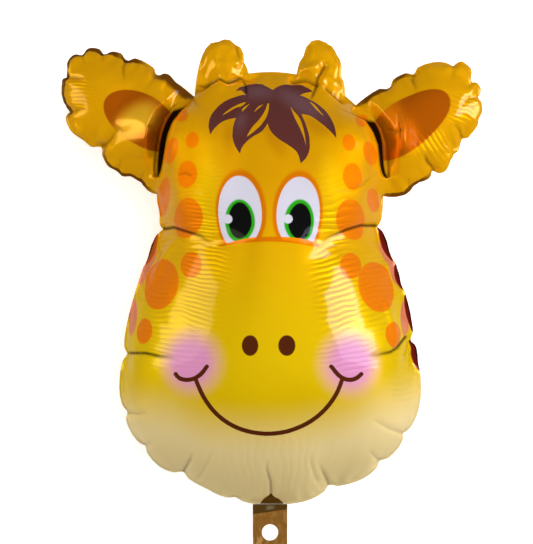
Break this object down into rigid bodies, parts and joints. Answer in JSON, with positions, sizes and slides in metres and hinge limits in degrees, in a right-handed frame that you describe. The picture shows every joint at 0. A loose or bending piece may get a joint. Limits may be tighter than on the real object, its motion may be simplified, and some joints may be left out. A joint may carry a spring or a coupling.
{
  "type": "giraffe head foil balloon",
  "caption": "Inflated foil balloon in the shape of a giraffe's head with ears and horns, lying on its back, with a flat filling tail below the chin.",
  "frame": {"origin": "under the middle of the balloon, on the surface that it lies on", "axes": "+X to the right of the face, +Y from the chin to the crown, +Z out of the face, upwards"},
  "size_m": [0.5038, 0.622, 0.2173],
  "materials": {
    "front_film": "satin metallised film with a printed face",
    "back_film": "satin metallised film with printed spots",
    "tail_film": "bronze metallised film"
  },
  "bodies": {
    "root": {"front_panel": "front_film", "back_panel": "back_film", "filling_tail": "tail_film"}
  },
  "joints": []
}
